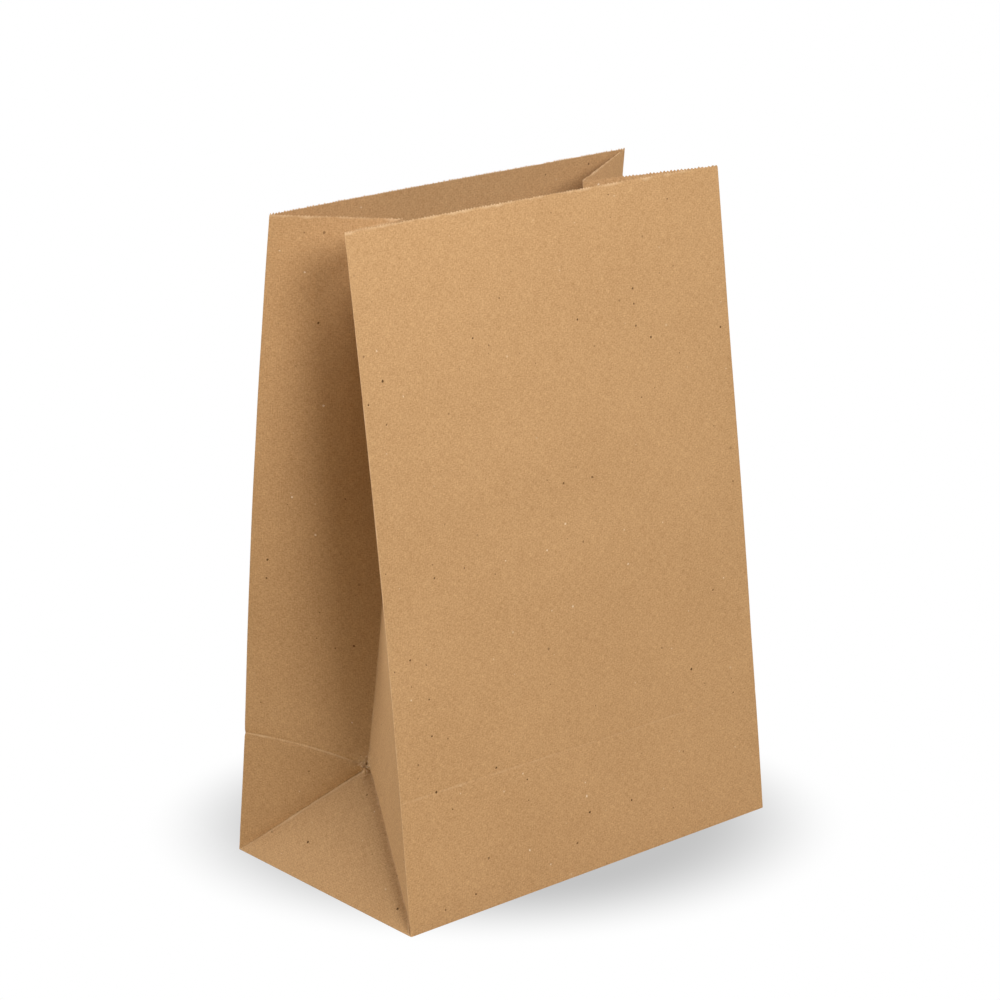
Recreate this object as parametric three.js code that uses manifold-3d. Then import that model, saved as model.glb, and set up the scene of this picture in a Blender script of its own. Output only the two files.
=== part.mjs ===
// A block-bottom paper bag standing open and empty: one sheet of brown kraft paper, folded and glued.
// Millimetres, +Z up. The origin is in the middle of the base, and the front panel faces -Y.
import * as THREE from 'three';
import Module from 'manifold-3d';
import { mergeVertices } from 'three/addons/utils/BufferGeometryUtils.js';

// Driving dimensions of the bag
const width = 200;
const depth = 117;
const wallHeight = 284; // from base fold to mouth, measured along the paper
const paper = 0.12;

// How far each upright fold leans in towards the mouth, in degrees, and swells out on the way up
const lean = { frontLeft: 6.6, frontRight: 6.8, backLeft: 7.4, backRight: 5.3 };
const swell = { frontLeft: 2.5, frontRight: 0.7, backLeft: 2.3, backRight: 2 };

// How far the middle of each mouth edge lies in from a straight line, and how far off square a corner is cut
const mouthBow = { front: 2.3, back: -1 };
const bowPower = 4; // an even number: the higher it is, the straighter the middle of the mouth edge
const trim = { frontLeft: -0.5, frontRight: 0.4, backLeft: 0.2, backRight: -0.5 };

// How far a gusset's crease lies below its corners at the mouth, and behind the middle of its side
const gussetDip = { left: 5.7, right: 4 };
const gussetShift = { left: 3.9, right: 0 };
const gussetEase = { left: 1.5, right: 0 }; // paper taken up by the soft bow of the gusset

// The crumpled pinch lies lower than half the depth, below its folds, and takes up a little paper too
const pinchDrop = 2.4;
const pinchDip = 6.2;
const pinchEase = 0.4;

// The mouth is cut with a toothed knife
const toothPitch = 1.5;
const toothHeight = 1;
const rimBand = 12; // plain paper between the teeth and the nearest row of points

// Glued laps: the two bottom flaps over each other, and the seam up the back
const bottomLap = 20;
const seamLap = 16.5;
const seamInset = 30; // from the back panel's left fold to the seam's free edge, seen from behind
const glueBite = 0.02; // how deep a glued layer sinks into its neighbour

// Fineness of the panels
const panelColumns = 8;
const gussetColumns = 4;
const lowRows = 3;
const highRows = 8;

const halfDepth = depth / 2;
const knee = halfDepth - pinchDrop; // height of the pinch along the paper
const radians = THREE.MathUtils.degToRad;
const LEFT = -1;
const RIGHT = 1;
const FRONT = -1;
const BACK = 1;

// The name under which the corner at this side and face keeps its lean and swell
function cornerName(side, face) {
  return (face === FRONT ? 'front' : 'back') + (side === LEFT ? 'Left' : 'Right');
}

// The name under which the gusset at this side keeps its sizes
function sideName(side) {
  return side === LEFT ? 'left' : 'right';
}

// The flat bag was folded over at the pinch, which leaves the back kinked there and the front smooth
function bulge(face, v) {
  const start = face === BACK ? knee : 0;
  return v < start ? 0 : Math.sin((Math.PI * (v - start)) / (wallHeight - start));
}

// A point on an upright fold, at distance v up the paper
function fold(side, face, v) {
  const corner = cornerName(side, face);
  const angle = radians(lean[corner]);
  const along = v * (1 + trim[corner] / wallHeight);
  const out = halfDepth - along * Math.sin(angle) + swell[corner] * bulge(face, v);
  return new THREE.Vector3((side * width) / 2, face * out, paper / 2 + along * Math.cos(angle));
}

// A point on a gusset's centre crease, from the pinch up to the mouth: half a depth of paper from both folds
function crease(side, v) {
  const name = sideName(side);
  const share = (v - knee) / (wallHeight - knee);
  const front = fold(side, FRONT, v);
  const back = fold(side, BACK, v);
  const opening = front.distanceTo(back) / 2;
  const dip = THREE.MathUtils.lerp(pinchDip, gussetDip[name], share);
  const ease = THREE.MathUtils.lerp(pinchEase, gussetEase[name], share);
  const inset = Math.sqrt((halfDepth - ease) ** 2 - opening ** 2 - dip ** 2);
  return front.lerp(back, 0.5).add(new THREE.Vector3(-side * inset, share * gussetShift[name], -dip));
}

// The point where a gusset's creases meet
function pinch(side) {
  return crease(side, knee);
}

// A point on the front or back panel, share s of the way across from its left fold, seen from outside
function panelPoint(face, s, v) {
  const start = fold(-face * LEFT, face, v);
  const point = start.lerp(fold(-face * RIGHT, face, v), s);
  const bow = face === FRONT ? mouthBow.front : mouthBow.back;
  point.y -= face * bow * (1 - (2 * s - 1) ** bowPower) * (v / wallHeight) ** 2;
  return point;
}

// A point on the slanting crease from a base corner up to the pinch
function diagonal(side, face, v) {
  return fold(side, face, 0).lerp(pinch(side), v / knee);
}

// A point on one half of a gusset, share s across from left to right, seen from outside
function gussetPoint(side, face, s, v) {
  const inner = v < knee ? diagonal(side, face, v) : crease(side, v);
  const foldFirst = side * face === LEFT;
  return fold(side, face, v).lerp(inner, foldFirst ? s : 1 - s);
}

// A point on the triangle between the slanting creases and the base, share s across, seen from outside
function trianglePoint(side, s, v) {
  return diagonal(side, side, v).lerp(diagonal(side, -side, v), 1 - s);
}

// A sheet under construction: the points of its middle surface, each kept once, and its triangles
class Sheet {
  points = [];
  faces = [];
  known = new Map();

  add(point) {
    const key = point.toArray().map((value) => value.toFixed(3)).join(' ');
    if (!this.known.has(key)) {
      this.known.set(key, this.points.length);
      this.points.push(point);
    }
    return this.known.get(key);
  }

  // A triangle, unless a row that narrows to one point has left it no width
  face(...corners) {
    const face = corners.map((point) => this.add(point));
    if (new Set(face).size === face.length) this.faces.push(face);
  }

  // Joins each row of a stretch to the next one up
  rise(rows, at) {
    rows.slice(1).forEach((row, i) => this.stitch(rows[i], row, at));
  }

  // Joins a row of points to the row above it, whatever their numbers
  stitch(low, high, at) {
    let i = 0;
    let j = 0;
    while (i < low.shares.length - 1 || j < high.shares.length - 1) {
      const a = at(low.shares[i], low.v);
      const b = at(high.shares[j], high.v);
      const nextLow = low.shares[i + 1] ?? Infinity;
      const nextHigh = high.shares[j + 1] ?? Infinity;
      if (nextLow <= nextHigh) {
        i += 1;
        this.face(a, at(nextLow, low.v), b);
      } else {
        j += 1;
        this.face(a, at(nextHigh, high.v), b);
      }
    }
  }

  // A row of teeth standing on the top row
  teeth(row, at) {
    for (let i = 0; i < row.shares.length - 1; i += 1) {
      const middle = (row.shares[i] + row.shares[i + 1]) / 2;
      this.face(at(row.shares[i], row.v), at(row.shares[i + 1], row.v), at(middle, row.v + toothHeight));
    }
  }
}

// Equal shares from 0 to 1
function shares(count) {
  return Array.from({ length: count + 1 }, (_, i) => i / count);
}

// A stretch of wall from height v up to its toothed edge, as wide as its paper says
function wallStretch(sheet, at, paperWidth, columns, heights) {
  const rows = heights.map((v) => ({ v, shares: shares(columns) }));
  const teethCount = Math.round(paperWidth / toothPitch);
  rows.push({ v: wallHeight - toothHeight, shares: shares(teethCount) });
  sheet.rise(rows, at);
  sheet.teeth(rows.at(-1), at);
}

// Heights of the rows of points: below the pinch, and from there to the band under the teeth
const lowHeights = shares(lowRows).map((share) => share * knee);
const bandHeight = wallHeight - toothHeight - rimBand;
const highHeights = shares(highRows).map((share) => THREE.MathUtils.lerp(knee, bandHeight, share));
const allHeights = [...lowHeights, ...highHeights.slice(1)];

// The walls: the front and back panels, and two gussets folded in from the pinch up
function wallSheet() {
  const sheet = new Sheet();
  for (const face of [FRONT, BACK]) {
    wallStretch(sheet, (s, v) => panelPoint(face, s, v), width, panelColumns, allHeights);
  }
  for (const side of [LEFT, RIGHT]) {
    for (const face of [FRONT, BACK]) {
      wallStretch(sheet, (s, v) => gussetPoint(side, face, s, v), halfDepth, gussetColumns, allHeights);
    }
    const rows = lowHeights.map((v) => ({ v, shares: shares(1) }));
    sheet.rise(rows, (s, v) => trianglePoint(side, s, v));
  }
  return sheet;
}

// The strip of paper that laps over the back panel to close the tube
function seamSheet() {
  const sheet = new Sheet();
  const first = (Math.round(seamInset / toothPitch) * toothPitch) / width;
  const at = (s, v) => panelPoint(BACK, first + (s * seamLap) / width, v);
  wallStretch(sheet, at, seamLap, 1, allHeights);
  return sheet;
}

// The step from the middle surface to a skin one unit away from every face that meets at a point
function skinSteps(sheet) {
  const steadying = 1e-4; // keeps the sums solvable where all faces at a point are parallel
  const steady = () => new THREE.Matrix3().multiplyScalar(steadying);
  const sums = sheet.points.map(() => ({ matrix: steady(), pull: new THREE.Vector3() }));
  const triangle = new THREE.Triangle();
  for (const face of sheet.faces) {
    triangle.set(...face.map((i) => sheet.points[i]));
    const normal = triangle.getNormal(new THREE.Vector3());
    const [x, y, z] = normal.toArray();
    const square = [x * x, x * y, x * z, x * y, y * y, y * z, x * z, y * z, z * z];
    for (const i of face) {
      sums[i].matrix.elements = sums[i].matrix.elements.map((value, k) => value + square[k]);
      sums[i].pull.add(normal);
    }
  }
  return sums.map(({ matrix, pull }) => pull.applyMatrix3(matrix.invert()));
}

// A closed geometry between two skins of a sheet, at these distances out from its middle surface
function thicken(sheet, inner, outer) {
  const steps = skinSteps(sheet);
  const count = sheet.points.length;
  const skin = (distance) => sheet.points.map((p, i) => p.clone().addScaledVector(steps[i], distance));
  const corners = [...skin(outer), ...skin(inner)].flatMap((p) => p.toArray());
  const triangles = [];
  const edges = new Map();
  for (const [a, b, c] of sheet.faces) {
    triangles.push(a, b, c, count + a, count + c, count + b);
    for (const [from, to] of [[a, b], [b, c], [c, a]]) edges.set(`${from} ${to}`, [from, to]);
  }
  for (const [from, to] of edges.values()) {
    if (edges.has(`${to} ${from}`)) continue;
    triangles.push(to, from, count + from, to, count + from, count + to);
  }
  const geometry = new THREE.BufferGeometry();
  geometry.setAttribute('position', new THREE.Float32BufferAttribute(corners, 3));
  geometry.setIndex(triangles);
  return geometry;
}

// An upright prism on an outline of corners, between two heights
function prism(outline, bottom, top) {
  const shape = new THREE.Shape(outline.map(([x, y]) => new THREE.Vector2(x, y)));
  const geometry = new THREE.ExtrudeGeometry(shape, { depth: top - bottom, bevelEnabled: false });
  return geometry.translate(0, 0, bottom);
}

const wasm = await Module();
wasm.setup();

// A closed geometry as a solid that can be joined and cut
function solid(geometry) {
  const bare = geometry.clone();
  bare.deleteAttribute('normal');
  bare.deleteAttribute('uv');
  const merged = mergeVertices(bare);
  const vertProperties = new Float32Array(merged.attributes.position.array);
  const triVerts = new Uint32Array(merged.index.array);
  return new wasm.Manifold(new wasm.Mesh({ numProp: 3, vertProperties, triVerts }));
}

// Outside faces of the folded base, and how far the glued flaps reach in from their folds
const outX = width / 2 + paper / 2;
const outY = halfDepth + paper / 2;
const reach = outY + bottomLap / 2;

// Outline of the front or back flap: a trapezium whose slanting sides are folded at 45 degrees
function flapOutline(face) {
  const outline = [[-outX, face * outY], [outX, face * outY]];
  outline.push([outX - reach, face * (outY - reach)], [reach - outX, face * (outY - reach)]);
  return face === FRONT ? outline : outline.reverse();
}

// The front flap is glued first, so it climbs by one paper to lie on the back flap's edge
function frontFlap() {
  const start = -bottomLap / 2;
  const end = reach - outY;
  const climb = paper - glueBite;
  const under = [[-outY, 0], [start, climb], [end, climb]];
  const over = under.map(([y, z]) => [y, z + paper]).reverse();
  const profile = prism([...under, ...over], -outX, outX).rotateX(Math.PI / 2).rotateZ(Math.PI / 2);
  return solid(profile).intersect(solid(prism(flapOutline(FRONT), -paper, climb + 2 * paper)));
}

// The corner of paper folded back under a flap, between it and the gusset's flap
function foldedCorner(side, face, bottom, top) {
  const far = side * (outX - reach);
  const outline = [[side * outX, face * outY], [far, face * outY], [far, face * (outY - reach)]];
  return solid(prism(side * face === LEFT ? outline : outline.reverse(), bottom, top));
}

// The gusset's own flap, folded in first as the inner layer of the floor
function gussetFlap(side, bottom, top) {
  const far = side * (outX - reach);
  const outline = [[far, -outY], [side * outX, -outY], [side * outX, outY], [far, outY]];
  return solid(prism(side === RIGHT ? outline : outline.reverse(), bottom, top));
}

// All layers of the block bottom, from the outside in
function bottomLayers() {
  const cornerTop = 3 * paper; // two lapped flaps and the corner itself
  const layers = [solid(prism(flapOutline(BACK), 0, paper)), frontFlap()];
  for (const side of [LEFT, RIGHT]) {
    for (const face of [FRONT, BACK]) layers.push(foldedCorner(side, face, paper - glueBite, cornerTop));
    layers.push(gussetFlap(side, cornerTop - glueBite, cornerTop + paper));
  }
  return layers;
}

// One folded sheet: the walls, the lapped seam and the layered bottom, joined where they are folded or glued
function bagGeometry() {
  let bag = solid(thicken(wallSheet(), -paper / 2, paper / 2));
  bag = bag.add(solid(thicken(seamSheet(), 0, paper / 2 + paper)));
  for (const layer of bottomLayers()) bag = bag.add(layer);
  const mesh = bag.getMesh();
  const geometry = new THREE.BufferGeometry();
  geometry.setAttribute('position', new THREE.BufferAttribute(mesh.vertProperties, mesh.numProp));
  geometry.setIndex(new THREE.BufferAttribute(mesh.triVerts, 1));
  geometry.computeVertexNormals();
  return geometry;
}

const kraftPaper = new THREE.MeshStandardMaterial({ color: 0xc49a6c, roughness: 0.85, metalness: 0 });
const sheetBag = new THREE.Mesh(bagGeometry(), kraftPaper);
sheetBag.name = 'paper_bag';

const model = new THREE.Group();
model.add(sheetBag);

export default model;
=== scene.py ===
# %% [markdown]
# # A brown paper bag, folded from one sheet
#
# The object is a block-bottom bag of brown kraft paper that stands open and empty. The real one
# starts as a flat sheet: it is wrapped into a tube and glued up the back, its sides are tucked in
# as gussets, its lower end is folded into a flat bottom, and a toothed knife cuts its mouth. This
# lesson makes it the same way. Every point of the flat sheet gets its place on the folded bag from
# a rule, so the whole bag is one sheet, without a cut at any fold.

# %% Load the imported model
import math
from collections import namedtuple
from functools import partial

import bpy
import numpy as np
from mathutils import Matrix, Vector


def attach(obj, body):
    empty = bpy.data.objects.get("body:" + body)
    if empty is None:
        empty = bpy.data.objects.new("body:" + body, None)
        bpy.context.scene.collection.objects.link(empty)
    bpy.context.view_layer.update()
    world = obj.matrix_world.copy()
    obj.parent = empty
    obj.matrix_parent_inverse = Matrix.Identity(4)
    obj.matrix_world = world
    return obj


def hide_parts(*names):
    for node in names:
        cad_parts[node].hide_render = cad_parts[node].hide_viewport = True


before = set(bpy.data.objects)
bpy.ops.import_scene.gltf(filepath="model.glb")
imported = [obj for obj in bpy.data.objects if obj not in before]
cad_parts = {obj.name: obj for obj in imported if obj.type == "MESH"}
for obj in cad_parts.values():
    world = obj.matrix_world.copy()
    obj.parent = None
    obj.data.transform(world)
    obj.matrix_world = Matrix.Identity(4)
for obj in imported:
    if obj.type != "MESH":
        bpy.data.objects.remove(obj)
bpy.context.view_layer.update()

# %% [markdown]
# ## The sizes
#
# Blender works in metres, so each size is written in millimetres times `MM`. The bag is as wide,
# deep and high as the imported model. The four upright folds don't lean in by the same angle, because
# a paper bag that was opened by hand never stands quite true, and they swell a little on the way
# up.

# %% Sizes of the bag
MM = 0.001
WIDTH = 200 * MM
DEPTH = 117 * MM
WALL = 284 * MM  # from the base fold to the points of the teeth, along the paper
HALF = DEPTH / 2
KNEE = HALF - 2.4 * MM  # height of the pinch along the paper; a perfect bag has it at HALF
PAPER = 0.12 * MM
LAYER = 0.16 * MM  # one layer of paper with its glue

LEFT, RIGHT, FRONT, BACK = -1, 1, -1, 1
LEAN = {(LEFT, FRONT): 6.6, (RIGHT, FRONT): 6.8, (LEFT, BACK): 7.4, (RIGHT, BACK): 5.3}  # degrees
SWELL = {  # how far a fold bows out
    (LEFT, FRONT): 2.5 * MM,
    (RIGHT, FRONT): 0.7 * MM,
    (LEFT, BACK): 2.3 * MM,
    (RIGHT, BACK): 2 * MM,
}
TRIM = {  # how much longer the paper is along a fold than WALL
    (LEFT, FRONT): -0.5 * MM,
    (RIGHT, FRONT): 0.4 * MM,
    (LEFT, BACK): 0.2 * MM,
    (RIGHT, BACK): -0.5 * MM,
}
MOUTH_BOW = {FRONT: 2.3 * MM, BACK: -1 * MM}  # how far the middle of the mouth edge lies in
GUSSET_DIP = {LEFT: 5.7 * MM, RIGHT: 4 * MM}  # how far its crease dips below the folds at the mouth
GUSSET_SHIFT = {LEFT: 3.9 * MM, RIGHT: 0.0}  # how far it lies behind the middle of its side
GUSSET_EASE = {LEFT: 1.5 * MM, RIGHT: 0.0}  # paper that is taken up by the soft bow of the gusset
PINCH_DIP, PINCH_EASE = 6.2 * MM, 0.4 * MM  # the same at the pinch

BOTTOM_LAP = 20 * MM
REACH = HALF + BOTTOM_LAP / 2  # length of the flaps that close the bottom
TOOTH_PITCH = 1.5 * MM
TOOTH_HEIGHT = 0.9 * MM
SEAM_START = 20 * TOOTH_PITCH  # from the back panel's left fold, seen from behind
SEAM_END = SEAM_START + 11 * TOOTH_PITCH
flat_width = 2 * WIDTH + 2 * DEPTH + SEAM_END - SEAM_START
print("flat sheet, mm:", round(flat_width / MM, 1), "x", round((WALL + REACH) / MM, 1))

# %% [markdown]
# ## The folds
#
# A folded sheet is known once its fold lines are known. Each corner of the bag has an upright fold.
# Each gusset has a centre crease, which ends below in a pinch where four creases meet. Paper
# doesn't stretch, so the pinch and the crease can't be put just anywhere: both stay half a depth of
# paper away from the upright folds. That is also why a bag whose panels lean in has gussets that
# dive deep at the mouth.

# %% Fold lines
FLOOR = LAYER / 2  # height of the outermost layer's middle


def points(x, y, z):
    """Joins coordinates that may be single numbers or arrays into an array of points."""
    return np.stack(np.broadcast_arrays(x, y, z), -1).astype(float)


def upright_fold(side, face, v):
    """Points on a corner's fold, v up the paper. A back fold is straight as far as the pinch."""
    lean = math.radians(LEAN[side, face])
    v = v * (1 + TRIM[side, face] / WALL)
    start = KNEE if face == BACK else 0.0
    rise = np.maximum(v - start, 0.0) / (WALL - start)
    out = HALF - v * math.sin(lean) + SWELL[side, face] * np.sin(np.pi * rise)
    return points(side * WIDTH / 2, face * out, FLOOR + v * math.cos(lean))


def centre_crease(side, v):
    """Points on a gusset's centre crease, half a depth of paper away from both folds."""
    v = np.maximum(v, KNEE)
    share = (v - KNEE) / (WALL - KNEE)
    front, back = (upright_fold(side, face, v) for face in (FRONT, BACK))
    opening = np.linalg.norm(front - back, axis=-1) / 2
    dip = PINCH_DIP + share * (GUSSET_DIP[side] - PINCH_DIP)
    ease = PINCH_EASE + share * (GUSSET_EASE[side] - PINCH_EASE)
    inset = np.sqrt((HALF - ease) ** 2 - opening**2 - dip**2)
    return (front + back) / 2 + points(-side * inset, share * GUSSET_SHIFT[side], -dip)


def pinch(side):
    """The point where a gusset's creases meet."""
    return centre_crease(side, np.float64(KNEE))


for side, word in ((LEFT, "left"), (RIGHT, "right")):
    top = centre_crease(side, np.float64(WALL))
    print(word, "pinch", (pinch(side) / MM).round(1), "crease at the mouth", (top / MM).round(1))

# %% [markdown]
# ## The walls
#
# Between its folds the paper is almost flat, so a panel is a straight blend from one fold to the
# other. The front panel keeps a shallow dent from the flat bag, where the folded bottom was pressed
# against it. A gusset half is a blend from its fold to the centre crease above the pinch; below, it
# is two flat triangles that meet in a slanting crease.

# %% Panels and gussets
BOW_POWER = 4  # an even number: the higher it is, the straighter the middle of the mouth edge
DENT_HEIGHT = 56 * MM
DENT_SLOPE = 2 * MM / WIDTH
DENT_DEPTH = 0.5 * MM
DENT_SPREAD = 45 * MM
DENT_POWER = 0.5  # below one, the dent stays deep until close to the panel's sides


def panel(face, s, v):
    """Front or back panel: s from its left fold, seen from outside, and v up the paper."""
    left, right = (LEFT, RIGHT) if face == FRONT else (RIGHT, LEFT)
    share = (s / WIDTH)[..., None]
    place = upright_fold(left, face, v) * (1 - share) + upright_fold(right, face, v) * share
    inward = MOUTH_BOW[face] * (1 - (2 * s / WIDTH - 1) ** BOW_POWER) * (v / WALL) ** 2
    if face == FRONT:
        middle = np.sin(np.pi * s / WIDTH) ** DENT_POWER
        from_dent = np.abs(v - DENT_HEIGHT + DENT_SLOPE * s)
        inward = inward + DENT_DEPTH * middle * np.maximum(1 - from_dent / DENT_SPREAD, 0)
    place[..., 1] -= face * inward
    return place


def gusset(side, face, g, v):
    """Half a gusset: g runs from its upright fold to its centre crease, and v up the paper."""
    share, rise = (g / HALF)[..., None], (v / KNEE)[..., None]
    fold, tip = upright_fold(side, face, v), pinch(side)
    foot, knee = (upright_fold(side, face, np.float64(height)) for height in (0.0, KNEE))
    base_middle = points(side * WIDTH / 2, 0.0, FLOOR)
    above_pinch = fold * (1 - share) + centre_crease(side, v) * share
    beside_fold = fold + share * (tip - knee)
    base_triangle = foot + share * (base_middle - foot) + rise * (tip - base_middle)
    return np.where(rise >= 1, above_pinch, np.where(share <= rise, beside_fold, base_triangle))


# %% [markdown]
# ## The block bottom
#
# Below the base fold the sheet goes on as flaps. The gussets' flaps are folded in first, then the
# front flap and the back flap over them, like the end of a parcel: each corner folds back on itself
# along a line at 45 degrees. The rule mirrors the points beyond that line and gives each layer its
# own height, so the layers lie on each other.

# %% Bottom flaps
CORNER_LEVEL = 2.5 * LAYER
GUSSET_LEVEL = 3.5 * LAYER


def panel_flap(face, s, t):
    """Front or back flap: s along its base fold, t in from it. The front flap is the inner one."""
    along, edge = s - WIDTH / 2, np.minimum(s, WIDTH - s)
    climb = np.clip(t / (HALF - BOTTOM_LAP / 2), 0, 1) if face == FRONT else 0.0
    flat = points(-face * along, face * (HALF - t), FLOOR + LAYER * climb)
    turned = points(-face * np.sign(along) * (WIDTH / 2 - t), face * (HALF - edge), CORNER_LEVEL)
    return np.where((edge >= t)[..., None], flat, turned)


def gusset_flap(side, face, g, t):
    """Half of a gusset's flap: g from the upright fold, and t in from the base fold."""
    return points(side * (WIDTH / 2 - t), face * (HALF - g), GUSSET_LEVEL)


# %% [markdown]
# ## The flat sheet
#
# The sheet's width is a row of stretches, in the order in which the paper runs round the bag. It
# starts behind the seam on the back panel and ends in the lap that is glued over that start. `u` is
# the distance along this row and `v` the distance up the paper, with the base fold at zero. Real
# paper never folds to a knife edge, so the last step takes the mean of points one small bend apart,
# which leaves flat paper alone and rounds every fold.

# %% Stretches of the sheet
Stretch = namedtuple("Stretch", "name begin end wall flap is_panel face")
BEND = 0.45 * MM
LAP_RAMP = 3 * MM
LAP_LIFT = 0.3 * MM  # how far the seam's free edge stands off the panel


def panel_stretch(name, face, begin, end):
    """A stretch of the front or back panel, with its flap."""
    return Stretch(name, begin, end, partial(panel, face), partial(panel_flap, face), True, face)


def gusset_stretch(name, side, face, begin, end):
    """Half a gusset, with its flap."""
    wall, flap = partial(gusset, side, face), partial(gusset_flap, side, face)
    return Stretch(name, begin, end, wall, flap, False, face)


STRETCHES = [
    panel_stretch("back", BACK, SEAM_START, WIDTH),
    gusset_stretch("left gusset, back half", LEFT, BACK, 0.0, HALF),
    gusset_stretch("left gusset, front half", LEFT, FRONT, HALF, 0.0),
    panel_stretch("front", FRONT, 0.0, WIDTH),
    gusset_stretch("right gusset, front half", RIGHT, FRONT, 0.0, HALF),
    gusset_stretch("right gusset, back half", RIGHT, BACK, HALF, 0.0),
    panel_stretch("back lap", BACK, 0.0, SEAM_END),
]
WIDTHS = [abs(piece.end - piece.begin) for piece in STRETCHES]
STARTS = np.concatenate([[0.0], np.cumsum(WIDTHS)])
SHEET_WIDTH = STARTS[-1]


def local_distance(number, u):
    """Distance across one stretch, in its own measure."""
    piece = STRETCHES[number]
    return piece.begin + np.sign(piece.end - piece.begin) * (u - STARTS[number])


def stretch_of(u):
    """The number of the stretch that holds each distance u."""
    return np.clip(np.searchsorted(STARTS, u, side="right") - 1, 0, len(STRETCHES) - 1)


def folded(u, v):
    """Place on the folded bag of points of the flat sheet."""
    u, v = np.broadcast_arrays(np.clip(u, 0.0, SHEET_WIDTH), v)
    place, number = np.zeros(u.shape + (3,)), stretch_of(u)
    for k, piece in enumerate(STRETCHES):
        mine = number == k
        across, up = local_distance(k, u[mine]), v[mine]
        spot = np.where((up >= 0)[:, None], piece.wall(across, up), piece.flap(across, -up))
        if piece.name == "back lap":
            ramp = np.clip((across - SEAM_START) / LAP_RAMP + 1, 0, 1)
            free = np.clip((across - SEAM_END) / LAP_RAMP + 1, 0, 1)
            spot[:, 1] += (LAYER * ramp + LAP_LIFT * free**2) * np.clip(up / LAP_RAMP, 0, 1)
        elif piece.name == "back":
            spot[:, 2] += LAYER * ((across < SEAM_END) & (up < 0))
        place[mine] = spot
    return place


def rounded(u, v):
    """The folded sheet with each fold bent round a small radius."""
    around = folded(u - BEND, v) + folded(u + BEND, v) + folded(u, v - BEND) + folded(u, v + BEND)
    return (around + 2 * folded(u, v)) / 6


print("sheet runs through", [piece.name for piece in STRETCHES])

# %% [markdown]
# ## The mesh
#
# The sheet becomes a grid of quads. Its lines are closer together near each fold, where the shape
# changes fast. A slanting crease has to run along edges of the mesh, or it would look like a
# staircase. Where the steps across and the steps up come from one list, a 45-degree line passes
# through the grid's corners, and each quad on it is split.

# %% Grid lines
PANEL_STEP, GUSSET_STEP, WALL_STEP = 3 * MM, 2 * MM, 3 * MM
FOLD_STEPS = np.array([0.0, 0.35, 0.8, 1.6]) * MM
RIM = 2 * MM  # plain paper between the grid and the teeth
TINY, ON_LINE = MM / 1000, MM / 100  # how close two lines count as one, and a point as on a line


def graded(length, step, marks=()):
    """Distances along a length: fine steps at both ends, even steps between, and the marks."""
    inner = FOLD_STEPS[-1]
    count = round((length - 2 * inner) / step)
    even = np.linspace(inner, length - inner, count + 1)
    every = np.concatenate([FOLD_STEPS, even, length - FOLD_STEPS, marks])
    return np.unique(every.round(8))


flap_steps = graded(REACH, PANEL_STEP, (SEAM_START, SEAM_END))
gusset_steps = graded(HALF, GUSSET_STEP)
middle_steps = np.arange(REACH, WIDTH - REACH, PANEL_STEP)
panel_steps = np.unique(np.concatenate([flap_steps, WIDTH - flap_steps, middle_steps]).round(8))
low_steps = gusset_steps * (KNEE / HALF)  # in step with the columns, for the slanting creases
high_steps = KNEE + graded(WALL - TOOTH_HEIGHT - RIM - KNEE, WALL_STEP)


def stretch_columns(number):
    """The grid's distances u within one stretch."""
    piece = STRETCHES[number]
    steps = panel_steps if piece.is_panel else gusset_steps
    low, high = sorted((piece.begin, piece.end))
    inside = steps[(steps > low - TINY) & (steps < high + TINY)]
    return np.sort(STARTS[number] + np.abs(inside - piece.begin))


columns = np.unique(np.concatenate([stretch_columns(k) for k in range(len(STRETCHES))]).round(7))
rows = np.unique(np.concatenate([-flap_steps, low_steps, high_steps]).round(8))
print(len(columns), "columns and", len(rows), "rows")

# %% Quads of the sheet, split along the slanting creases
def crease_measure(u, v):
    """How far each point is, across the paper, from the slanting crease of its stretch, or NaN."""
    u, v = np.broadcast_arrays(u, v)
    measure, number = np.full(u.shape, np.nan), stretch_of(u)
    for k, piece in enumerate(STRETCHES):
        across = local_distance(k, u)
        if piece.is_panel:
            creased, distance = v <= 0, np.minimum(across, WIDTH - across) + v
        else:
            creased, distance = (v >= 0) & (v <= KNEE), across - v * HALF / KNEE
        measure = np.where((number == k) & creased, distance, measure)
    return measure


def grid_faces(on_crease):
    """Faces between rows and columns; a quad with a crease through it becomes two triangles."""
    index = np.arange(on_crease.size).reshape(on_crease.shape)
    ll, lr, ur, ul = index[:-1, :-1], index[:-1, 1:], index[1:, 1:], index[1:, :-1]
    rising = on_crease[:-1, :-1] & on_crease[1:, 1:]
    falling = on_crease[:-1, 1:] & on_crease[1:, :-1] & ~rising
    plain = ~(rising | falling)
    faces = []
    for corners, chosen in (
        ((ll, lr, ur, ul), plain),
        ((ll, lr, ur), rising),
        ((ll, ur, ul), rising),
        ((ll, lr, ul), falling),
        ((lr, ur, ul), falling),
    ):
        faces += np.stack(corners, -1)[chosen].tolist()
    return faces


grid_u, grid_v = np.meshgrid(columns, rows)
faces = grid_faces(np.abs(crease_measure(grid_u, grid_v)) < ON_LINE)
sheet_u, sheet_v = grid_u.ravel(), grid_v.ravel()
top_row = np.arange(len(columns)) + (len(rows) - 1) * len(columns)
print(len(sheet_u), "points and", len(faces), "faces before the teeth")

# %% [markdown]
# ## The toothed mouth
#
# The knife that cuts the sheet has small pointed teeth, so the mouth edge is a row of points 1.5 mm
# apart. They are too fine for the grid's columns. A row of valleys is stitched to the top row of
# the grid, and each tooth is one triangle that stands between two valleys, so the teeth belong to
# the same sheet and follow every bow of its edge. The tips differ a little in height, because
# paper frays where it is cut.

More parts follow.
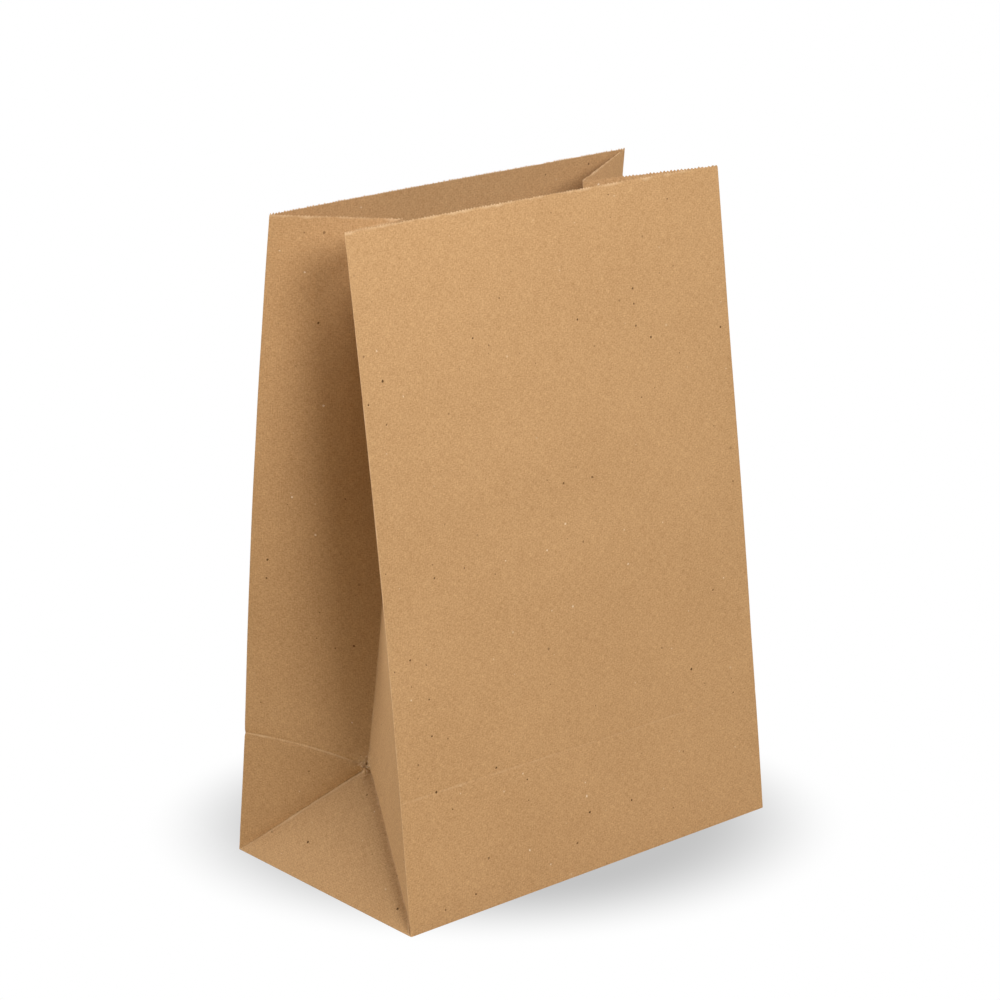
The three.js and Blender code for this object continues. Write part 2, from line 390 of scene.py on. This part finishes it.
# %% Teeth
FRAY, FRAY_SEED = 0.5 * MM, 5  # how much a tip may be short of its full height
tooth_rows = [
    np.linspace(start, start + width, round(width / TOOTH_PITCH) + 1)
    for start, width in zip(STARTS, WIDTHS)
]
valleys = np.unique(np.concatenate(tooth_rows).round(8))
peaks = (valleys[1:] + valleys[:-1]) / 2
tips = WALL - np.random.default_rng(FRAY_SEED).uniform(0, FRAY, len(peaks))


def stitched(low, low_index, high, high_index):
    """Triangles between two rows of points with different spacing."""
    made, i, j = [], 0, 0
    while i < len(low) - 1 or j < len(high) - 1:
        next_low = low[i + 1] if i < len(low) - 1 else np.inf
        next_high = high[j + 1] if j < len(high) - 1 else np.inf
        if next_low <= next_high:
            made.append([low_index[i], low_index[i + 1], high_index[j]])
            i += 1
        else:
            made.append([low_index[i], high_index[j + 1], high_index[j]])
            j += 1
    return made


valley_index = len(sheet_u) + np.arange(len(valleys))
peak_index = valley_index[-1] + 1 + np.arange(len(peaks))
faces += [[int(n) for n in face] for face in stitched(columns, top_row, valleys, valley_index)]
faces += np.stack([valley_index[:-1], valley_index[1:], peak_index], -1).tolist()
sheet_u = np.concatenate([sheet_u, valleys, peaks])
sheet_v = np.concatenate([sheet_v, np.full(len(valleys), WALL - TOOTH_HEIGHT), tips])
print(len(peaks), "teeth along the mouth")

# %% [markdown]
# ## What the material needs to know
#
# Folding breaks fibres, so kraft paper is paler along its folds, and the pale line on each rounded
# fold is also a painted highlight. The distance to the nearest fold is easy to tell on the flat
# sheet and hard to tell on the folded bag, so it is worked out here and stored on the mesh as
# attributes. So are the flat coordinates, because grain and fibres belong to the sheet and run round
# its corners.

# %% Distances to folds and creases
number = stretch_of(sheet_u)
across = np.zeros_like(sheet_u)
is_panel, is_back = np.zeros_like(number, bool), np.zeros_like(number, bool)
for k, piece in enumerate(STRETCHES):
    across[number == k] = local_distance(k, sheet_u[number == k])
    is_panel[number == k] = piece.is_panel
    is_back[number == k] = piece.face == BACK

AWAY = 1.0  # for a panel, which has no pinch and no centre crease
from_fold = np.where(is_panel, np.minimum(across, WIDTH - across), across)
from_pinch = np.where(is_panel, AWAY, np.hypot(HALF - across, KNEE - sheet_v))
from_centre = np.where(is_panel, AWAY, np.where(sheet_v >= KNEE, HALF - across, from_pinch))
from_base = np.abs(sheet_v)
fold_gap = np.minimum(np.minimum(np.abs(from_fold), from_centre), from_base)

FAR = 50 * MM  # the same for the creases whose two sides differ
PRESS_BOW = 1.6 * MM  # the pressed crease runs in a shallow bow across a gusset
side_of_knee = np.where(sheet_v < KNEE, 1.0, -1.0)
beside_slant = (across - sheet_v * HALF / KNEE) / math.sqrt(2)
slanting = np.where(is_panel, np.where(sheet_v < 0, FAR, -FAR), beside_slant)
press_height = KNEE + np.where(is_panel, 0.0, PRESS_BOW * np.sin(np.pi * across / HALF))
pressed = np.where(is_back, press_height - sheet_v, FAR * side_of_knee)
dent_gap = np.where(is_panel & ~is_back, np.abs(sheet_v - DENT_HEIGHT + DENT_SLOPE * across), FAR)
on_wall = sheet_v > MM
on_fold, on_crease = ((np.abs(gap) < ON_LINE).sum() for gap in (fold_gap, pressed))
print("points on a fold:", on_fold, "and on a pressed crease:", on_crease)

# %% [markdown]
# ## Small unevenness
#
# The creases that the flat bag was pressed along stay visible as narrow grooves. The slanting
# creases were once folded flat and have sprung open, so the paper dives into them in a steep little
# valley. Where the four creases of a gusset meet, the paper is crumpled to a small knot. All are
# moves along the normal, made while the points are still in rows.

# %% Pressed grooves and crumpled pinches
GROOVE_DEPTH, GROOVE_WIDTH = 0.22 * MM, 0.9 * MM
VALLEY_DEPTH, VALLEY_WIDTH = {FRONT: 2.6 * MM, BACK: 0.9 * MM}, 1.6 * MM
CRUMPLE_DEPTH, CRUMPLE_REACH = 1.0 * MM, 5 * MM
KNOT_HEIGHT, KNOT_REACH = 2.2 * MM, 2.8 * MM
DENT_LINE = 0.5  # the front's dent line is this share of a pressed groove
VALLEY_RUN_IN, VALLEY_RUN_OUT = 8 * MM, 2 * MM  # its start above the base, and end past the pinch
PROBE = MM / 5  # half the distance between the points that tell a normal
NO_LENGTH = 1e-12  # keeps a normal from being divided by zero
CRUMPLE_SEED = 11
chance = np.random.default_rng(CRUMPLE_SEED)

place = rounded(sheet_u, sheet_v)
outward = np.cross(
    rounded(sheet_u + PROBE, sheet_v) - rounded(sheet_u - PROBE, sheet_v),
    rounded(sheet_u, sheet_v + PROBE) - rounded(sheet_u, sheet_v - PROBE),
)
outward /= np.maximum(np.linalg.norm(outward, axis=-1, keepdims=True), NO_LENGTH)
groove = on_wall * np.exp(-((pressed / GROOVE_WIDTH) ** 2))
dent_line = on_wall * DENT_LINE * np.exp(-((dent_gap / GROOVE_WIDTH) ** 2))
in_gusset = ~is_panel & (sheet_v < KNEE + VALLEY_RUN_OUT)
along_valley = np.clip(sheet_v / VALLEY_RUN_IN, 0, 1) * in_gusset
valley = along_valley * np.exp(-np.abs(slanting) / VALLEY_WIDTH)
valley_depth = np.where(is_back, VALLEY_DEPTH[BACK], VALLEY_DEPTH[FRONT])
knot = np.exp(-((from_pinch / KNOT_REACH) ** 2))
crumple = np.exp(-((from_pinch / CRUMPLE_REACH) ** 2)) * chance.uniform(-1, 1, len(sheet_u))
move = CRUMPLE_DEPTH * crumple + KNOT_HEIGHT * knot
move = move - GROOVE_DEPTH * (groove + dent_line) - valley_depth * valley
place += outward * move[:, None]
print("moves along the normal, mm:", (move.min() / MM).round(2), "to", (move.max() / MM).round(2))

# %% The sheet as a mesh with its attributes
SLACK_HEIGHT, SLACK_INSET = 40 * MM, 25 * MM  # from the base and a fold to fully slack paper
SLACK_AT_FOLD = 0.35
WORKED_SHARE, WORKED_REACH = 0.25, 6 * MM  # how much paper beside a crease is wrinkled, and how far
WORKED_AT_PINCH = 11 * MM


def add_attribute(mesh, name, kind, values):
    """Stores one value for each point of the mesh."""
    layer = mesh.attributes.new(name, kind, "POINT")
    field = "vector" if kind == "FLOAT_VECTOR" else "value"
    layer.data.foreach_set(field, np.asarray(values, np.float32).ravel())


inset = np.clip(from_fold / SLACK_INSET, 0, 1)
slack = np.clip(sheet_v / SLACK_HEIGHT, 0, 1) * (SLACK_AT_FOLD + (1 - SLACK_AT_FOLD) * inset)
crease_gap = np.minimum(np.abs(slanting), np.abs(pressed))
worked = on_wall * WORKED_SHARE * np.exp(-((crease_gap / WORKED_REACH) ** 2))
worked = np.maximum(worked, np.exp(-((from_pinch / WORKED_AT_PINCH) ** 2)))
sheet_mesh = bpy.data.meshes.new("bag_sheet")
sheet_mesh.from_pydata(place.tolist(), [], faces)
add_attribute(sheet_mesh, "flat_sheet", "FLOAT_VECTOR", points(sheet_u, sheet_v, 0.0))
stored = {
    "fold_gap": fold_gap,
    "slant_gap": slanting,
    "press_gap": pressed,
    "pinch_gap": from_pinch,
    "dent_gap": dent_gap,
    "mouth_gap": WALL - sheet_v,
    "slack": slack,
    "worked": worked,
}
for name, values in stored.items():
    add_attribute(sheet_mesh, name, "FLOAT", values)
print("sheet mesh:", len(sheet_mesh.vertices), "points,", len(sheet_mesh.polygons), "faces")

# %% [markdown]
# ## Kraft paper
#
# Brown kraft is a mat of short fibres. Up close it shows a fine crossed grain from the paper
# machine's wire, soft clouds where the fibres lie thicker, dark flecks of bark and a few pale ones.
# All of it is noise at different scales in the sheet's flat coordinates. The colour slides between
# a darker and a paler kraft, because pale spots in paper are also less saturated.

# %% Helpers for node trees
def add_node(tree, kind, settings=(), **inputs):
    """Adds a node, sets its properties, and links or sets its inputs by name or number."""
    made = tree.nodes.new(kind)
    for name, value in dict(settings).items():
        setattr(made, name, value)
    for name, value in inputs.items():
        numbered = name[0] == "n" and name[1:].isdigit()
        socket = made.inputs[int(name[1:]) if numbered else name.replace("_", " ")]
        if isinstance(value, bpy.types.NodeSocket):
            tree.links.new(value, socket)
        else:
            socket.default_value = value
    return made


def math_node(tree, operation, first, second=0.0, clamp=False):
    """A Math node's result, from sockets or numbers."""
    settings = {"operation": operation, "use_clamp": clamp}
    return add_node(tree, "ShaderNodeMath", settings, n0=first, n1=second).outputs[0]


def vector_node(tree, operation, **inputs):
    """A Vector Math node's vector."""
    made = add_node(tree, "ShaderNodeVectorMath", {"operation": operation}, **inputs)
    return made.outputs["Vector"]


# %% Grain, clouds and flecks
LINE_FULL, LINE_BREAK = 1.7, 1.8  # how solid a pale line is, and how much noise breaks it up
WIRE_SHAKE = (1.6, 4.0)  # how far the wire marks stray, and over what distance, in mm
FLECK_SHAKE = (0.5, 0.7)  # the same for the outlines of flecks
FAINTEST_FLECK = 0.25


def stretched_noise(tree, flat, across_mm, along_mm, detail=2.0, output="Fac"):
    """Noise whose features are about this wide and high on the sheet."""
    scale = (1 / (across_mm * MM), 1 / (along_mm * MM), 1.0)
    spread = vector_node(tree, "MULTIPLY", n0=flat, n1=scale)
    flatly = {"noise_dimensions": "2D"}
    noise = add_node(tree, "ShaderNodeTexNoise", flatly, Vector=spread, Scale=1.0, Detail=detail)
    return noise.outputs[output]


def shaken(tree, flat, reach_mm, size_mm):
    """The flat coordinates, shaken by noise, so that a pattern on them isn't too regular."""
    noise = stretched_noise(tree, flat, size_mm, size_mm, 1.0, "Color")
    centred = vector_node(tree, "SUBTRACT", n0=noise, n1=(0.5, 0.5, 0.5))
    shake = vector_node(tree, "SCALE", n0=centred, Scale=reach_mm * MM)
    return vector_node(tree, "ADD", n0=flat, n1=shake)


def wire_mark(tree, flat, across_mm, along_mm):
    """The crossed marks that the paper machine's wire leaves: one wave across times one along."""
    parts = add_node(tree, "ShaderNodeSeparateXYZ", Vector=shaken(tree, flat, *WIRE_SHAKE)).outputs
    waves = [
        math_node(tree, "SINE", math_node(tree, "MULTIPLY", part, 2 * math.pi / (length * MM)))
        for part, length in ((parts["X"], across_mm), (parts["Y"], along_mm))
    ]
    return math_node(tree, "MULTIPLY", *waves)


def flecks(tree, flat, spacing_mm, largest_mm, rarity, offset):
    """How strong a fleck is at each place: a spot in some of the cells of a Voronoi pattern."""
    moved = vector_node(tree, "ADD", n0=flat, n1=(offset, offset, 0.0))
    cells = add_node(
        tree, "ShaderNodeTexVoronoi", {"voronoi_dimensions": "2D"},
        Vector=shaken(tree, moved, *FLECK_SHAKE), Scale=1 / (spacing_mm * MM),
    )
    lots = add_node(tree, "ShaderNodeSeparateColor", Color=cells.outputs["Color"]).outputs
    share = math_node(tree, "POWER", lots["Red"], rarity)
    size = math_node(tree, "MULTIPLY", share, largest_mm / spacing_mm)
    inside = math_node(tree, "LESS_THAN", cells.outputs["Distance"], size)
    strength = math_node(tree, "ADD", lots["Green"], FAINTEST_FLECK, clamp=True)
    return math_node(tree, "MULTIPLY", inside, strength)


def near_line(tree, gap, width_mm, ragged):
    """Fades from one on a fold or crease to zero at this distance from it, with a ragged edge."""
    share = math_node(tree, "DIVIDE", gap, width_mm * MM)
    rough = math_node(tree, "ADD", share, math_node(tree, "MULTIPLY", ragged, LINE_BREAK))
    return math_node(tree, "SUBTRACT", LINE_FULL, rough, clamp=True)


def pressed_edge(tree, gap, width_mm, height):
    """A pressed crease's profile: a small ridge on one side of the line, a groove on the other."""
    share = math_node(tree, "DIVIDE", gap, width_mm * MM)
    square = math_node(tree, "MULTIPLY", share, share)
    fade = math_node(tree, "EXPONENT", math_node(tree, "MULTIPLY", square, -1.0))
    return math_node(tree, "MULTIPLY", math_node(tree, "MULTIPLY", share, fade), height)


# %% The kraft paper material
DARK_KRAFT = (0.37, 0.20, 0.080, 1.0)
PALE_KRAFT = (0.67, 0.42, 0.21, 1.0)
# Pale colour of broken and cut fibres; along the folds it also paints their highlight
PALE_FIBRE_AND_HIGHLIGHT = (0.74, 0.52, 0.31, 1.0)
BARK_FLECK = (0.13, 0.06, 0.02, 1.0)
PALE_FLECK = (0.76, 0.60, 0.42, 1.0)
GRAIN = {  # size across and along the paper in mm, detail, weight in the colour and in the bump
    "pulp": (0.5, 0.5, 2.0, 0.65, 1.0),
    "ribs": (0.5, 2.6, 2.0, 0.6, 0.7),
    "bars": (2.6, 0.5, 2.0, 0.6, 0.7),
    "cloud": (7.0, 9.0, 3.0, 0.16, 0.0),
    "broad": (60.0, 45.0, 2.0, 0.16, 0.0),
}
WIRE_PITCH, WIRE_STRENGTH = (2.1, 1.7), 0.08
PALE_LINES = [  # stored distance, offset from it and width in mm, and strength
    # on each fold: broken fibres and a painted highlight of the rounded edge
    ("fold_gap", 0.0, 0.4, 0.6),
    ("slant_gap", 0.6, 0.8, 0.5),
    ("press_gap", 0.0, 0.6, 0.45),
    ("dent_gap", 0.0, 0.6, 0.3),
]
SPECK_SIZE, SPECK_CONTRAST = 1.0, 3.0  # the broken spots of the crumpled pinch, in mm
PINCH_WIDTH, PINCH_STRENGTH = 4.5, 0.8
TORN_WIDTH = 1.8  # the pale rim of the cut edge, in mm
FLECKS = [  # colour, spacing and largest size in mm, rarity, and where the pattern starts
    (BARK_FLECK, 8.0, 0.6, 9.0, 0.31),
    (PALE_FLECK, 11.0, 0.5, 9.0, 0.77),
]
EDGE_WIDTH, EDGE_HEIGHT = 0.7, 12.0  # of the bump at a pressed crease: mm, and heights of the grain
BUMP_STRENGTH, BUMP_DISTANCE = 0.4, 0.06 * MM
ROUGHNESS, GLOSS = 0.85, 0.25


def mixed(tree, factor, first, second):
    """Colour between two colours."""
    settings = {"data_type": "RGBA"}  # a Mix node's colours are its inputs 6 and 7 and its output 2
    return add_node(tree, "ShaderNodeMix", settings, n0=factor, n6=first, n7=second).outputs[2]


def attribute(tree, name, output):
    """A value stored on the mesh."""
    return add_node(tree, "ShaderNodeAttribute", {"attribute_name": name}).outputs[output]


def weighted(tree, start, *pairs):
    """A starting value plus each source's distance from one half, times its weight."""
    total = start
    for source, weight in pairs:
        centred = math_node(tree, "SUBTRACT", source, 0.5)
        total = math_node(tree, "ADD", math_node(tree, "MULTIPLY", centred, weight), total)
    return total


def kraft_paper():
    """The paper's material, in the sheet's flat coordinates."""
    material = bpy.data.materials.new("brown_kraft")
    material.use_nodes = True
    tree = material.node_tree
    shader = tree.nodes["Principled BSDF"]
    flat = attribute(tree, "flat_sheet", "Vector")
    noises = {name: stretched_noise(tree, flat, *sizes) for name, (*sizes, _, _) in GRAIN.items()}
    mark = math_node(tree, "MULTIPLY", wire_mark(tree, flat, *WIRE_PITCH), WIRE_STRENGTH)
    toned = [(noises[name], weights[-2]) for name, weights in GRAIN.items()]
    tone = weighted(tree, mark, *toned)
    colour = mixed(tree, math_node(tree, "ADD", tone, 0.5, clamp=True), DARK_KRAFT, PALE_KRAFT)
    # Pale lines along folds and creases; on the folds they are partly a painted highlight
    for name, offset, width, strength in PALE_LINES:
        gap = math_node(tree, "SUBTRACT", attribute(tree, name, "Fac"), offset * MM)
        line = near_line(tree, math_node(tree, "ABSOLUTE", gap), width, noises["cloud"])
        colour = mixed(tree, math_node(tree, "MULTIPLY", line, strength), colour, PALE_FIBRE_AND_HIGHLIGHT)
    specks = stretched_noise(tree, flat, SPECK_SIZE, SPECK_SIZE)
    specks = weighted(tree, 0.5, (specks, SPECK_CONTRAST))
    crumpled = near_line(tree, attribute(tree, "pinch_gap", "Fac"), PINCH_WIDTH, specks)
    crumpled = math_node(tree, "MULTIPLY", crumpled, PINCH_STRENGTH)
    colour = mixed(tree, crumpled, colour, PALE_FIBRE_AND_HIGHLIGHT)
    torn = near_line(tree, attribute(tree, "mouth_gap", "Fac"), TORN_WIDTH, noises["cloud"])
    torn = math_node(tree, "MULTIPLY", torn, attribute(tree, "outer_side", "Fac"))
    colour = mixed(tree, torn, colour, PALE_FIBRE_AND_HIGHLIGHT)
    for fleck_colour, *kind in FLECKS:
        colour = mixed(tree, flecks(tree, flat, *kind), colour, fleck_colour)
    tree.links.new(colour, shader.inputs["Base Color"])
    raised = [(noises[name], weights[-1]) for name, weights in GRAIN.items() if weights[-1]]
    height = weighted(tree, mark, *raised)
    for name in ("slant_gap", "press_gap"):
        edge = pressed_edge(tree, attribute(tree, name, "Fac"), EDGE_WIDTH, EDGE_HEIGHT)
        height = math_node(tree, "ADD", height, edge)
    bump = add_node(
        tree, "ShaderNodeBump", Height=height, Strength=BUMP_STRENGTH, Distance=BUMP_DISTANCE
    )
    tree.links.new(bump.outputs["Normal"], shader.inputs["Normal"])
    shader.inputs["Roughness"].default_value = ROUGHNESS
    shader.inputs["Specular IOR Level"].default_value = GLOSS
    return material


paper = kraft_paper()
print("material", paper.name, "with", len(paper.node_tree.nodes), "nodes")

# %% [markdown]
# ## From a sheet to paper
#
# So far the sheet has no thickness, and its panels are too even. Both are rules that hold at every
# point of the surface, which is what Geometry Nodes are for. The tree moves each point along its
# normal by soft noise, more where the paper is slack and not at all at the base. Then it extrudes
# the sheet by one paper and joins that to the turned-over original, so that the result is closed.
# The outer skin is marked, because the material shows the pale rim of the cut edge only there.

# %% Geometry Nodes tree for the paper's body
TREE_INPUTS = {  # with their starting values
    "Thickness": PAPER,
    "Ripple height": 0.0,
    "Ripple length": 1.0,
    "Wrinkle height": 0.0,
    "Wrinkle length": 1.0,
    "Seed": 0.0,
}


def paper_body_tree():
    """A tree that ripples a sheet and gives it thickness."""
    group = bpy.data.node_groups.new("paper_body", "GeometryNodeTree")
    for way in ("INPUT", "OUTPUT"):
        group.interface.new_socket("Geometry", in_out=way, socket_type="NodeSocketGeometry")
    for name, value in TREE_INPUTS.items():
        socket = group.interface.new_socket(name, in_out="INPUT", socket_type="NodeSocketFloat")
        socket.default_value = value
    start = group.nodes.new("NodeGroupInput").outputs
    move = math_node(group, "MULTIPLY", start["Thickness"], -0.5)
    for kind, where in (("Ripple", "slack"), ("Wrinkle", "worked")):
        frequency = math_node(group, "DIVIDE", 1.0, start[kind + " length"])
        noise = add_node(
            group, "ShaderNodeTexNoise", {"noise_dimensions": "4D"},
            W=start["Seed"], Scale=frequency, Detail=1.0,
        )
        here = add_node(
            group, "GeometryNodeInputNamedAttribute", {"data_type": "FLOAT"}, Name=where
        )
        centred = math_node(group, "SUBTRACT", noise.outputs["Fac"], 0.5)
        wave = math_node(group, "MULTIPLY", centred, here.outputs[0])
        wave = math_node(group, "MULTIPLY", wave, start[kind + " height"])
        move = math_node(group, "ADD", wave, move)
    normal = add_node(group, "GeometryNodeInputNormal").outputs["Normal"]
    offset = vector_node(group, "SCALE", n0=normal, Scale=move)
    placed = add_node(group, "GeometryNodeSetPosition", Geometry=start["Geometry"], Offset=offset)
    moved = placed.outputs[0]
    outside = add_node(
        group, "GeometryNodeExtrudeMesh",
        Mesh=moved, Offset_Scale=start["Thickness"], Individual=False,
    )
    marked = add_node(
        group, "GeometryNodeStoreNamedAttribute", {"data_type": "FLOAT", "domain": "FACE"},
        Geometry=outside.outputs[0], Name="outer_side", Value=1.0,
    )
    inside = add_node(group, "GeometryNodeFlipFaces", Mesh=moved).outputs[0]
    both = group.nodes.new("GeometryNodeJoinGeometry")
    for skin in (marked.outputs[0], inside):
        group.links.new(skin, both.inputs[0])
    closed = add_node(
        group, "GeometryNodeMergeByDistance", Geometry=both.outputs[0], Distance=PAPER / 1000
    )
    real = add_node(group, "GeometryNodeRealizeInstances", Geometry=closed.outputs[0])
    finish = add_node(group, "GeometryNodeSetMaterial", Geometry=real.outputs[0], Material=paper)
    group.links.new(finish.outputs[0], group.nodes.new("NodeGroupOutput").inputs[0])
    return group


def with_nodes(name, mesh, group, **values):
    """A plain mesh made by running a tree on a mesh, with these values for the tree's inputs."""
    carrier = bpy.data.objects.new(name + "_carrier", mesh)
    bpy.context.scene.collection.objects.link(carrier)
    modifier = carrier.modifiers.new("nodes", "NODES")
    modifier.node_group = group
    for socket in group.interface.items_tree:
        if socket.in_out == "INPUT" and socket.name.replace(" ", "_") in values:
            modifier[socket.identifier] = float(values[socket.name.replace(" ", "_")])
    done = carrier.evaluated_get(bpy.context.evaluated_depsgraph_get())
    result = bpy.data.meshes.new_from_object(done)
    carrier.modifiers.remove(modifier)
    bpy.data.objects.remove(carrier)
    result.name = name
    return result


# %% The finished bag
SHARP_FOLD = math.radians(25)
bag_mesh = with_nodes(
    "paper_bag_sheet", sheet_mesh, paper_body_tree(),
    Thickness=PAPER, Ripple_height=1.6 * MM, Ripple_length=70 * MM,
    Wrinkle_height=1.4 * MM, Wrinkle_length=6 * MM, Seed=3.0,
)
bag_mesh.shade_smooth()
bag_mesh.set_sharp_from_angle(angle=SHARP_FOLD)
bag = bpy.data.objects.new("paper_bag_sheet", bag_mesh)
bpy.context.scene.collection.objects.link(bag)
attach(bag, "root")
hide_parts("paper_bag")
triangles = sum(len(face.vertices) - 2 for face in bag_mesh.polygons)
print("bag:", len(bag_mesh.vertices), "points,", triangles, "triangles")

# %% [markdown]
# ## Floor
#
# The bag stands on a plain white floor that runs out to pure white. Its soft oval shadow is painted,
# not cast by the lamps: broad light from all round would leave such an oval at the foot of the bag.
# For light that bounces, the floor is an ordinary matte surface. For the camera it is white with
# that painted shade within the oval, as far as the Ambient Occlusion node finds the bag close by:
# it asks how much of the view from a point is blocked. A Mapping node of the Texture kind turns the
# oval into a plain circle of radius one.

# %% Floor
FLOOR_SIZE = 14.0
WHITE = (1.0, 1.0, 1.0, 1.0)
FLOOR_COLOUR = (0.64, 0.54, 0.39, 1.0)  # a warm white, as the light that comes back from it
# The painted shadow: a soft oval of darker floor for the camera, not cast by the lamps
SHADOW_CENTRE = (4.4 * MM, 11.2 * MM, 0.0)
SHADOW_TURN = (0.0, 0.0, math.radians(-40.5))
SHADOW_SIZE = (156 * MM, 130 * MM, 1.0)  # half the oval's length and width
SHADOW_CORE = 0.53  # the shadow is full up to this share of the oval, and fades from there
SHADOW_DEPTH = 0.45
BAG_REACH = 300 * MM  # how far off the bag may be to cast any shadow
VIEW_SAMPLES = 8  # directions in which a point of the floor looks for the bag
BAG_NEAR, BAG_FAR = 0.9, 1.0  # open views that count as close to the bag, and as away from it


def seen_directly(tree):
    """One for rays from the camera, also through gloss or glass, and zero for bounced light."""
    rays = add_node(tree, "ShaderNodeLightPath").outputs
    seen = math_node(tree, "MAXIMUM", rays["Is Camera Ray"], rays["Is Glossy Ray"])
    return math_node(tree, "MAXIMUM", seen, rays["Is Transmission Ray"])


def falling(tree, value, full, none):
    """One up to the first limit, zero from the second, and a soft step between."""
    step = {"interpolation_type": "SMOOTHSTEP"}
    limits = {"From_Min": full, "From_Max": none, "To_Min": 1.0, "To_Max": 0.0}
    return add_node(tree, "ShaderNodeMapRange", step, Value=value, **limits).outputs[0]


def white_floor():
    """A matte floor that looks white, with a painted soft oval shadow under the bag."""
    material = bpy.data.materials.new("white_floor")
    material.use_nodes = True
    tree = material.node_tree
    tree.nodes.remove(tree.nodes["Principled BSDF"])
    spot = add_node(
        tree, "ShaderNodeMapping", {"vector_type": "TEXTURE"},
        Location=SHADOW_CENTRE, Rotation=SHADOW_TURN, Scale=SHADOW_SIZE,
        Vector=add_node(tree, "ShaderNodeTexCoord").outputs["Object"],
    )
    radius = add_node(tree, "ShaderNodeVectorMath", {"operation": "LENGTH"}, n0=spot.outputs[0])
    oval = falling(tree, radius.outputs["Value"], SHADOW_CORE, 1.0)
    view = add_node(
        tree, "ShaderNodeAmbientOcclusion", {"samples": VIEW_SAMPLES}, Distance=BAG_REACH
    )
    near_bag = falling(tree, view.outputs["AO"], BAG_NEAR, BAG_FAR)
    # the painted shade: the oval, kept to where the bag is near
    painted_shadow = math_node(tree, "MULTIPLY", oval, near_bag)
    shade = math_node(tree, "SUBTRACT", 1.0, math_node(tree, "MULTIPLY", painted_shadow, SHADOW_DEPTH))
    matte = add_node(tree, "ShaderNodeBsdfDiffuse", Color=FLOOR_COLOUR).outputs[0]
    white = add_node(tree, "ShaderNodeEmission", Color=WHITE, Strength=shade).outputs[0]
    both = add_node(tree, "ShaderNodeMixShader", n0=seen_directly(tree), n1=matte, n2=white)
    tree.links.new(both.outputs[0], tree.nodes["Material Output"].inputs["Surface"])
    return material


floor_mesh = bpy.data.meshes.new("floor")
edge = FLOOR_SIZE / 2
corners = [(-edge, -edge, 0), (edge, -edge, 0), (edge, edge, 0), (-edge, edge, 0)]
floor_mesh.from_pydata(corners, [], [(0, 1, 2, 3)])
floor_mesh.materials.append(white_floor())
floor = bpy.data.objects.new("floor", floor_mesh)
bpy.context.scene.collection.objects.link(floor)
print("floor of", FLOOR_SIZE, "m")

# %% [markdown]
# ## Light and camera
#
# A broad low light from the front shows the front panel and leaves the inside of the gusset dark. A
# lamp near the upper left makes the panel brightest there. A second broad light from behind on the
# left reaches the base triangle and the mouth, and a weak one from the right keeps the far side
# from going black. The sky is faint for light and white for the camera. The camera looks down on
# the front left corner through a long lens.

# %% Light
SKY = 0.045
# Azimuth (zero is the front, negative the left), elevation and softness in degrees, and strength
SUNS = {
    "front_light": (-12.0, 25.0, 22.0, 1.68),
    "back_left_light": (-150.0, 35.0, 40.0, 1.85),
    "right_fill": (105.0, 30.0, 40.0, 1.3),
}
LAMP_AIM = Vector((-50 * MM, -40 * MM, 200 * MM))
LAMP_PLACE = Vector((-120 * MM, -250 * MM, 700 * MM))
LAMP_SIZE, LAMP_WATTS = 0.25, 1.9


def direction(azimuth, elevation):
    """The unit vector from the bag towards this direction."""
    a, e = math.radians(azimuth), math.radians(elevation)
    return Vector((math.sin(a) * math.cos(e), -math.cos(a) * math.cos(e), math.sin(e)))


def add_light(name, kind, energy, towards):
    """A light that shines from this direction."""
    data = bpy.data.lights.new(name, kind)
    data.energy = energy
    light = bpy.data.objects.new(name, data)
    light.rotation_euler = towards.to_track_quat("Z", "Y").to_euler()
    bpy.context.scene.collection.objects.link(light)
    return light


for name, (azimuth, elevation, softness, strength) in SUNS.items():
    sun = add_light(name, "SUN", strength, direction(azimuth, elevation))
    sun.data.angle = math.radians(softness)

lamp = add_light("near_lamp", "AREA", LAMP_WATTS, LAMP_PLACE - LAMP_AIM)
lamp.data.shape, lamp.data.size = "DISK", LAMP_SIZE
lamp.location = LAMP_PLACE

world = bpy.data.worlds.new("white_sky")
world.use_nodes = True
bpy.context.scene.world = world
sky = world.node_tree.nodes["Background"]
sky.inputs["Color"].default_value = WHITE
brightness = math_node(world.node_tree, "MAXIMUM", seen_directly(world.node_tree), SKY)
world.node_tree.links.new(brightness, sky.inputs["Strength"])

# %% Camera
CAMERA_PLACE = Vector((-769.8, -900.9, 508.1)) * MM
CAMERA_TURN, CAMERA_DROP, CAMERA_ROLL = (math.radians(a) for a in (40.47, 16.85, -0.51))
CAMERA_LENS = 106.1  # for a sensor 36 mm wide

ahead = Vector((
    math.sin(CAMERA_TURN) * math.cos(CAMERA_DROP),
    math.cos(CAMERA_TURN) * math.cos(CAMERA_DROP),
    -math.sin(CAMERA_DROP),
))
level = Vector((math.cos(CAMERA_TURN), -math.sin(CAMERA_TURN), 0.0))
upright = level.cross(ahead)
right = level * math.cos(CAMERA_ROLL) + upright * math.sin(CAMERA_ROLL)
upward = upright * math.cos(CAMERA_ROLL) - level * math.sin(CAMERA_ROLL)
camera_data = bpy.data.cameras.new("camera")
camera_data.lens = CAMERA_LENS
camera = bpy.data.objects.new("camera", camera_data)
turn = Matrix((right, upward, -ahead)).transposed().to_4x4()
camera.matrix_world = Matrix.Translation(CAMERA_PLACE) @ turn
bpy.context.scene.collection.objects.link(camera)
bpy.context.scene.camera = camera
bpy.context.scene.view_settings.view_transform = "Standard"
print("camera at", [round(c, 3) for c in CAMERA_PLACE])
